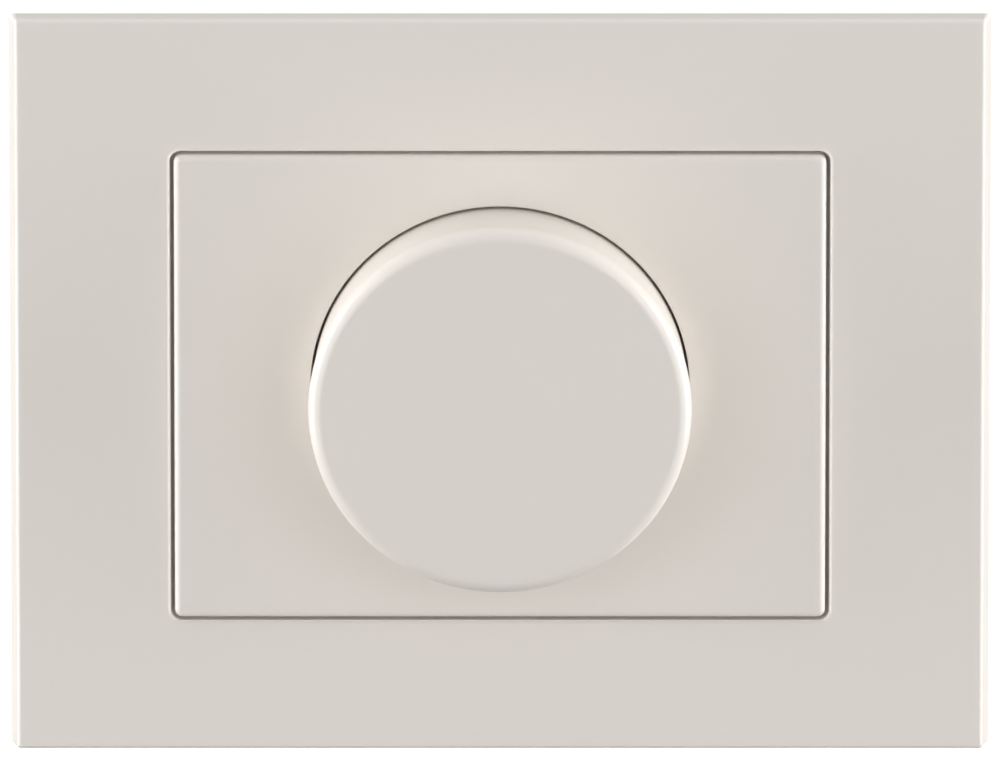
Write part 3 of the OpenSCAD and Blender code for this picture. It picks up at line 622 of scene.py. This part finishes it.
class DIMMER_OT_cover_frame(bpy.types.Operator):
    """Cover frame: rounded rectangles round the knob's axis, stacked along the section's outline.
    They run from the front edge's arc across the face, up a gentle and then a steep parabola to the
    window's rim and round it, over the ledge and the collar to the back, round the skirt, and up the
    drafted edge"""
    bl_idname = "dimmer.cover_frame"
    bl_label = "Cover Frame"

    def execute(self, context):
        shape = context.scene.dimmer_shape
        back_a, _, back_b = half_size("cover_frame")
        a, b = back_a - shape.frame_draft_side, back_b - shape.frame_draft_top
        e, w, steps = shape.frame_edge, shape.window_edge, shape.arc_steps
        front = low("cover_frame")[1]
        face = front + shape.lip
        slab_back = front + shape.slab
        margin = 0.25 * MM
        edge_corner, face_corner, window_corner = 0.35 * MM, 0.3 * MM, 1.2 * MM
        inside_corner, outside_corner = 0.4 * MM, 0.6 * MM

        rings = []
        for x, y in arc(0, 0, e, 0, 90, steps):
            inset = e - x
            rings.append((a - inset, b - inset, edge_corner, face + e - y))
        rings.append((a - e - margin, b - e - margin, face_corner, face))

        groove = 0.4 * MM
        plate = half_size("centre_plate")
        window = (plate[0] + groove, plate[2] + groove)
        bead, gentle_part = 0.45 * MM, 0.4
        for step in range(steps + 1):
            share = step / steps
            away = bead + (shape.lip_run - bead) * (1 - share)
            rings.append((window[0] + away, window[1] + away, window_corner + away,
                          face - gentle_part * shape.lip * share ** 2))
        for share in (0.25, 0.5, 0.75):
            away = bead + (w - bead) * share
            rings.append((window[0] + away, window[1] + away, window_corner + away,
                          face - shape.lip * (gentle_part + (1 - gentle_part) * share ** 2)))
        for x, y in arc(0, 0, w, 90, 0, max(4, steps // 2)):
            rings.append((window[0] + w - x, window[1] + w - x, window_corner, front + w - y))

        ledge_y = low("centre_plate")[1] + PLATE_DEPTH
        ledge, wall = (34.25 * MM, 25.25 * MM), 1.2 * MM
        collar, collar_back = (ledge[0] + wall, ledge[1] + wall), -1.2 * MM
        rings += [(*window, window_corner, front + w + 0.15 * MM),
                  (*window, window_corner, ledge_y),
                  (*ledge, inside_corner, ledge_y),
                  (*ledge, inside_corner, collar_back),
                  (*collar, outside_corner, collar_back),
                  (*collar, outside_corner, slab_back)]

        inset, skirt_wall, wall_plane = 2.2 * MM, 1.6 * MM, 0.0
        inner = (a - inset - skirt_wall, b - inset - skirt_wall)
        outer = (a - inset, b - inset)
        chamfer, draft_start = 0.1 * MM, 0.1
        rings += [(*inner, inside_corner, slab_back), (*inner, inside_corner, wall_plane),
                  (*outer, outside_corner, wall_plane), (*outer, outside_corner, slab_back),
                  (back_a - margin, back_b - margin, face_corner, slab_back),
                  (back_a, back_b, edge_corner, slab_back - chamfer),
                  (a + (back_a - a) * draft_start, b + (back_b - b) * draft_start, edge_corner,
                   face + e + (slab_back - face - e) * draft_start)]
        angles = loop_angles([(a, b, 0.012), (*window, 0.03)], shape.round_steps)
        body = ring_stack(angles, rings)

        rib_from, rib_to, rib_half, rib_sunk = 36 * MM, outer[0] - 0.5 * MM, 0.6 * MM, 0.3 * MM
        ribs = []
        for side in (-1, 1):
            x0, x1 = sorted((side * rib_from, side * rib_to))
            for z in (-18 * MM, 0.0, 18 * MM):
                ribs.append(rod_box((x0, slab_back - rib_sunk, z - rib_half),
                                    (x1, -0.6 * MM, z + rib_half), 0.15 * MM))
        stands_for("Cover_Frame", combine(body, *ribs), "cover_frame")
        return {"FINISHED"}


class DIMMER_OT_centre_plate(bpy.types.Operator):
    """Centre plate: the same stack of rings, from a rectangle outside to the circle of the well, down
    the well to its floor and the bush hole, and back under the plate"""
    bl_idname = "dimmer.centre_plate"
    bl_label = "Centre Plate"

    def execute(self, context):
        shape = context.scene.dimmer_shape
        a, _, b = half_size("centre_plate")
        e, w, steps = shape.plate_edge, shape.well_edge, shape.arc_steps
        front, floor_back = low("centre_plate")[1], high("centre_plate")[1]
        floor, back = floor_back - 1.4 * MM, front + PLATE_DEPTH
        hole, well, wall = 5.15 * MM, 20.8 * MM, 1.2 * MM
        foot, margin, land = 0.3 * MM, 0.2 * MM, 0.1 * MM

        def disc(radius, y):
            return (radius, radius, radius, y)

        rings = [disc(hole, floor_back), disc(hole, floor), disc(well - foot, floor),
                 disc(well, floor + foot), disc(well, front + w + land)]
        rings += [disc(well + w - x, front + w - y) for x, y in arc(0, 0, w, 0, 90, max(4, steps // 2))]
        rings.append(disc(well + w + margin, front))

        corner, face_corner, back_corner, least_corner = 0.9 * MM, 0.5 * MM, 0.8 * MM, 0.1 * MM
        rings.append((a - e - margin, b - e - margin, face_corner, front))
        for x, y in arc(0, 0, e, 90, 0, steps):
            rings.append((a - e + x, b - e + x, max(corner - e + x, least_corner), front + e - y))
        rings += [(a, b, corner, front + e + land), (a, b, corner, back - land),
                  (a - land, b - land, back_corner, back)]

        rim, rim_back, thick = (34.05 * MM, 25.05 * MM), back + 1.5 * MM, 1.3 * MM
        inner = (rim[0] - thick, rim[1] - thick)
        rim_corner, inner_corner = 0.4 * MM, 0.3 * MM
        rings += [(*rim, rim_corner, back), (*rim, rim_corner, rim_back),
                  (*inner, inner_corner, rim_back), (*inner, inner_corner, back),
                  disc(well + wall, back), disc(well + wall, floor_back)]
        angles = loop_angles([(a, b, 0.03)], shape.round_steps)
        body = ring_stack(angles, rings)

        rib_half, rib_sunk, overlap = 0.5 * MM, 0.3 * MM, 0.6 * MM
        ribs = []
        for side in (-1, 1):
            x0, x1 = sorted((side * (well + overlap), side * (rim[0] - overlap)))
            for z in (-8 * MM, 8 * MM):
                ribs.append(rod_box((x0, back - rib_sunk, z - rib_half),
                                    (x1, rim_back, z + rib_half), 0.12 * MM))
        stands_for("Centre_Plate", combine(body, *ribs), "centre_plate")
        return {"FINISHED"}


class DIMMER_OT_knob(bpy.types.Operator):
    """Knob: a hollow shell turned from one profile, which runs from the centre of the face round the
    front edge, down the slightly flared side, round the rim, up the inside to the hub and its D bore.
    Six ribs join the hub to the wall"""
    bl_idname = "dimmer.knob"
    bl_label = "Knob"

    def execute(self, context):
        shape = context.scene.dimmer_shape
        front, rim = low("knob")[1], high("knob")[1]
        lean, wall, face = 0.5 * MM, 1.8 * MM, 2.2 * MM
        r_front = half_size("knob")[0]
        r_back = r_front - lean
        e, steps = shape.knob_edge, shape.arc_steps
        inner, inner_y = r_back - wall, front + face
        hub, hub_y = 5.1 * MM, -10.5 * MM
        bore, bore_y, flat = 3.03 * MM, -15.3 * MM, 2.03 * MM
        flare_end = low("centre_plate")[1] - 0.7 * MM
        land, break_edge, rim_edge, root, foot = 0.05 * MM, 0.2 * MM, 0.3 * MM, 0.5 * MM, 0.4 * MM
        outside = joined((0, front), (r_front - e - 2 * MM, front), (r_front - e - break_edge, front),
                         arc(r_front - e, front + e, e, -90, 0, steps + 4),
                         (r_front - 0.02 * MM, front + e + 0.3 * MM),
                         (r_back, flare_end), (r_back, rim - rim_edge - land),
                         arc(r_back - rim_edge, rim - rim_edge, rim_edge, 0, 90, 4),
                         (r_back - rim_edge - break_edge, rim), (inner + break_edge, rim),
                         (inner, rim - break_edge), (inner, inner_y + root + 0.1 * MM))
        inside = joined(arc(inner - root, inner_y + root, root, 0, -90, 4),
                        (hub + foot, inner_y), (hub, inner_y + foot),
                        (hub, hub_y - break_edge), (hub - break_edge, hub_y),
                        (bore + break_edge, hub_y), (bore, hub_y - break_edge),
                        (bore, bore_y), (0, bore_y))
        body = lathe(joined(outside, inside), shape.round_steps, flat, flat_rings=3)

        rib_half, rib_from, rib_to, rib_end = 0.6 * MM, hub - 0.8 * MM, inner + 0.3 * MM, hub_y - 2 * MM
        rib_count, ribs = 6, []
        for k in range(rib_count):
            points, faces = rod_box((rib_from, inner_y - 0.3 * MM, -rib_half),
                                    (rib_to, rib_end, rib_half), 0.15 * MM)
            a = k * 2 * math.pi / rib_count
            turn = np.array([[math.cos(a), 0, math.sin(a)], [0, 1, 0], [-math.sin(a), 0, math.cos(a)]])
            ribs.append((points @ turn.T, faces))
        stands_for("Knob", combine(body, *ribs), "knob")
        return {"FINISHED"}


class DIMMER_OT_insert(bpy.types.Operator):
    """Pieces in front of the wall that the centre plate covers, and the support frame: the CAD shapes
    with rounded edges"""
    bl_idname = "dimmer.insert"
    bl_label = "Insert Front"

    def execute(self, context):
        round_all({"insert_cover": 0.3, "support_frame": 0.15, "heat_sink": 0.12, "retaining_nut": 0.25,
                   "lock_washer": 0.1, "knob_clip": 0.1, "cover_screws": 0.12, "pot_bush": 0.2,
                   "pot_shaft": 0.25})
        return {"FINISHED"}


class DIMMER_OT_housing(bpy.types.Operator):
    """Housing, terminal block and terminals: the CAD shapes with rounded edges. A low rim of four bars
    stands round the vents, and low ribs run along the housing's top"""
    bl_idname = "dimmer.housing"
    bl_label = "Housing"

    def execute(self, context):
        round_all({"housing": 0.35, "terminal_block": 0.25, "terminal_cages": 0.15,
                   "terminal_screws": 0.1, "housing_screws": 0.15})
        back, top = high("housing")[1], high("housing")[2]
        relief, bar, edge = 0.35 * MM, 0.8 * MM, 0.12 * MM
        left, right, lower, upper = -14.8 * MM, 10.8 * MM, -8.0 * MM, 16.0 * MM
        # the level bars are a little lower than the upright ones, so that no two faces lie together
        level_relief = 0.9 * relief
        rim = [rod_box((x, back - relief, lower), (x + bar, back + relief, upper), edge)
               for x in (left, right - bar)]
        rim += [rod_box((left + bar / 2, back - relief, z),
                        (right - bar / 2, back + level_relief, z + bar), edge)
                for z in (lower, upper - bar)]
        added("Vent_Rim", combine(*rim), "housing")
        rib_front, rib_back = 5 * MM, 28 * MM
        ribs = [rod_box((x - bar / 2, rib_front, top - relief), (x + bar / 2, rib_back, top + relief),
                        relief) for x in np.array([-9.0, -4.5, 0.0, 4.5, 9.0]) * MM]
        added("Housing_Ribs", combine(*ribs), "housing")
        return {"FINISHED"}


class DIMMER_OT_claws(bpy.types.Operator):
    """Claws with rounded edges, and claw screws with a thread between the heat sink and the claw"""
    bl_idname = "dimmer.claws"
    bl_label = "Claws"

    def execute(self, context):
        for side in ("left", "right"):
            claw, screw = "claw_" + side, "claw_screw_" + side
            round_all({claw: 0.15, screw: 0.15})
            centre = (low(screw) + high(screw)) / 2
            shape = thread(centre[0], centre[2], core=1.44 * MM, depth=0.18 * MM, pitch=0.7 * MM,
                           start=3.2 * MM, end=high(claw)[1] + 0.2 * MM)
            added(screw.title() + "_Thread", shape, screw)
        return {"FINISHED"}


class DIMMER_OT_electronics(bpy.types.Operator):
    """Circuit board and its parts with rounded edges. The choke's winding is a tube along a helix that
    is bent round a ring: each point is at the ring radius along the axis of angle a, plus the winding
    radius times cosine t along that axis and sine t along Y"""
    bl_idname = "dimmer.electronics"
    bl_label = "Electronics"

    def execute(self, context):
        round_all({"circuit_board": 0.08, "suppression_capacitor": 0.5, "timing_capacitor": 0.9,
                   "power_triac": 0.15, "fuse_caps": 0.2, "fuse_clips": 0.08, "resistors": 0.3,
                   "trigger_diac": 0.3, "pot_case": 0.25, "switch_case": 0.3, "switch_plunger": 0.2,
                   "wiper_carrier": 0.15, "wiper_contact": 0.08, "pot_pins": 0.06,
                   "contact_bridge": 0.08, "fixed_contacts": 0.08})
        core = (low("choke_core") + high("choke_core")) / 2
        section = half_size("choke_core")[1]
        ring_radius = half_size("choke_core")[0] - section
        wire, winding = 0.4 * MM, section + 0.65 * MM
        turns, steps_a_turn = 19.5, 28
        first_angle, sweep = math.radians(30), math.radians(300)
        t = np.linspace(0, 1, int(turns * steps_a_turn))
        around, along = 2 * math.pi * turns * t, first_angle + sweep * t
        out = ring_radius + winding * np.cos(around)
        path = core + np.stack([out * np.cos(along), winding * np.sin(around), out * np.sin(along)], -1)
        leg_steps = 11
        rise = np.linspace(low("choke_winding")[1], core[1], leg_steps + 1)[:-1]
        first, last = [np.stack([np.full(leg_steps, end[0]), y, np.full(leg_steps, end[2])], -1)
                       for end, y in ((path[0], rise), (path[-1], rise[::-1]))]
        stands_for("Choke_Winding", tube(np.concatenate([first, path, last]), wire), "choke_winding")
        return {"FINISHED"}


class DIMMER_OT_spring(bpy.types.Operator):
    """Return spring: a tube along a helix whose last half turn at each end lies flat"""
    bl_idname = "dimmer.spring"
    bl_label = "Return Spring"

    def execute(self, context):
        lo, hi = low("return_spring"), high("return_spring")
        wire, turns, steps, sides = 0.2 * MM, 4, 220, 10
        t = np.linspace(0, 1, steps)
        radius = half_size("return_spring")[0] - wire
        height = np.clip((t - 0.5 / turns) / (1 - 1 / turns), 0, 1)
        centre = (lo + hi) / 2
        path = np.stack([centre[0] + radius * np.cos(2 * math.pi * turns * t),
                         lo[1] + wire + height * (hi[1] - lo[1] - 2 * wire),
                         centre[2] + radius * np.sin(2 * math.pi * turns * t)], -1)
        spring = stands_for("Return_Spring", tube(path, wire, sides), "return_spring")
        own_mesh(spring)
        return {"FINISHED"}


class DIMMER_OT_stage(bpy.types.Operator):
    """Floor, softboxes, sky and camera"""
    bl_idname = "dimmer.stage"
    bl_label = "Stage"

    def execute(self, context):
        stage = context.scene.dimmer_stage
        make_floor()
        make_world(stage.sky, stage.ground)
        front = low("cover_frame")[1]
        # name, place on the right, width and height, power
        pairs = (("", (0.60, front - 0.06, 0.0), (0.20, 0.60), stage.side_watts),
                 ("Front ", (0.36, front - 0.46, 0.0), (0.35, 0.6), stage.front_watts),
                 ("Back ", (0.45, 0.75, 0.12), (0.5, 0.6), stage.back_watts))
        for side, name in ((-1.0, "Left"), (1.0, "Right")):
            for kind, (x, y, z), size, watts in pairs:
                softbox(kind + name, (x * side, y, z), size, watts)
        softbox("Top", (0.0, 0.09, 0.70), (0.8, 0.3), stage.top_watts)
        aim = Vector((0.0, front, stage.aim_up))
        back = Vector((0, -math.cos(stage.elevation), math.sin(stage.elevation)))
        data = bpy.data.cameras.new("Camera")
        data.sensor_width = 36.0
        data.lens = stage.lens
        data.clip_end = 20.0
        camera = bpy.data.objects.new("Camera", data)
        context.scene.collection.objects.link(camera)
        camera.location = aim + back * stage.distance
        camera.rotation_euler = (-back).to_track_quat("-Z", "Y").to_euler()
        context.scene.camera = camera
        context.scene.view_settings.view_transform = "Standard"
        return {"FINISHED"}


def softbox(name, place, size, watts):
    """A rectangular area light that faces the knob's axis and is hidden from the camera."""
    data = bpy.data.lights.new(name + " Softbox", "AREA")
    data.shape = "RECTANGLE"
    data.size, data.size_y = size
    data.energy = watts
    light = bpy.data.objects.new(name + " Softbox", data)
    bpy.context.scene.collection.objects.link(light)
    light.location = place
    light.rotation_euler = (-Vector(place)).to_track_quat("-Z", "Y").to_euler()
    light.visible_camera = False


def make_floor():
    """A pale floor well under the object, round in plan."""
    steps, radius, depth = 64, 6.0, 0.30
    angle = np.linspace(0, 2 * math.pi, steps, endpoint=False)
    rim = np.stack([radius * np.cos(angle), radius * np.sin(angle), np.full(steps, -depth)], -1)
    mesh = bpy.data.meshes.new("Floor")
    mesh.from_pydata(rim, [], [list(range(steps))])
    floor = bpy.data.objects.new("Floor", mesh)
    bpy.context.scene.collection.objects.link(floor)
    material = bpy.data.materials.new("Floor")
    material.use_nodes = True
    shader = material.node_tree.nodes["Principled BSDF"]
    for label, value in (("Base Color", (0.9, 0.9, 0.9, 1)), ("Roughness", 1.0),
                         ("Specular IOR Level", 0.0), ("Emission Color", (1, 1, 1, 1)),
                         ("Emission Strength", 0.6)):
        shader.inputs[label].default_value = value
    mesh.materials.append(material)
    floor.visible_diffuse = floor.visible_glossy = False


def make_world(above, below):
    """A white studio. The camera sees it white; the object is lit by a sky whose strength goes from
    below to above with the sine of the direction's height."""
    world = bpy.data.worlds.new("Studio")
    bpy.context.scene.world = world
    world.use_nodes = True
    tree = world.node_tree
    tree.nodes.clear()
    seen = tree.nodes.new("ShaderNodeBackground")
    seen.inputs["Strength"].default_value = 1.05
    lit = tree.nodes.new("ShaderNodeBackground")
    for node in (seen, lit):
        node.inputs["Color"].default_value = (1, 1, 1, 1)
    height = tree.nodes.new("ShaderNodeSeparateXYZ")
    tree.links.new(tree.nodes.new("ShaderNodeTexCoord").outputs["Generated"], height.inputs[0])
    ramp = tree.nodes.new("ShaderNodeMapRange")
    for socket, value in (("From Min", -0.2), ("From Max", 0.5), ("To Min", below), ("To Max", above)):
        ramp.inputs[socket].default_value = value
    tree.links.new(height.outputs["Z"], ramp.inputs["Value"])
    tree.links.new(ramp.outputs["Result"], lit.inputs["Strength"])
    path = tree.nodes.new("ShaderNodeLightPath")
    mix = tree.nodes.new("ShaderNodeMixShader")
    out = tree.nodes.new("ShaderNodeOutputWorld")
    tree.links.new(path.outputs["Is Camera Ray"], mix.inputs["Fac"])
    tree.links.new(lit.outputs[0], mix.inputs[1])
    tree.links.new(seen.outputs[0], mix.inputs[2])
    tree.links.new(mix.outputs[0], out.inputs["Surface"])


class DIMMER_PT_panel(bpy.types.Panel):
    """Buttons for each piece, and the settings"""
    bl_idname = "DIMMER_PT_panel"
    bl_label = "Rotary Dimmer"
    bl_space_type = "VIEW_3D"
    bl_region_type = "UI"
    bl_category = "Dimmer"

    def draw(self, context):
        for operator in OPERATORS:
            self.layout.operator(operator.bl_idname)
        for pointer, settings in SETTINGS.items():
            box = self.layout.box()
            for name in settings.__annotations__:
                box.prop(getattr(context.scene, pointer), name)


OPERATORS = (DIMMER_OT_finishes, DIMMER_OT_cover_frame, DIMMER_OT_centre_plate, DIMMER_OT_knob,
             DIMMER_OT_insert, DIMMER_OT_housing, DIMMER_OT_claws, DIMMER_OT_electronics,
             DIMMER_OT_spring, DIMMER_OT_stage)
SETTINGS = {"dimmer_shape": DimmerShape, "dimmer_finish": DimmerFinish, "dimmer_stage": DimmerStage}


def register():
    for cls in (*SETTINGS.values(), *OPERATORS, DIMMER_PT_panel):
        bpy.utils.register_class(cls)
    for name, group in SETTINGS.items():
        setattr(bpy.types.Scene, name, bpy.props.PointerProperty(type=group))


def unregister():
    for name in SETTINGS:
        delattr(bpy.types.Scene, name)
    for cls in reversed((*SETTINGS.values(), *OPERATORS, DIMMER_PT_panel)):
        bpy.utils.unregister_class(cls)


def main():
    register()
    for operator in OPERATORS:
        group, name = operator.bl_idname.split(".")
        getattr(getattr(bpy.ops, group), name)()
    bpy.context.view_layer.update()


if __name__ == "__main__":
    main()
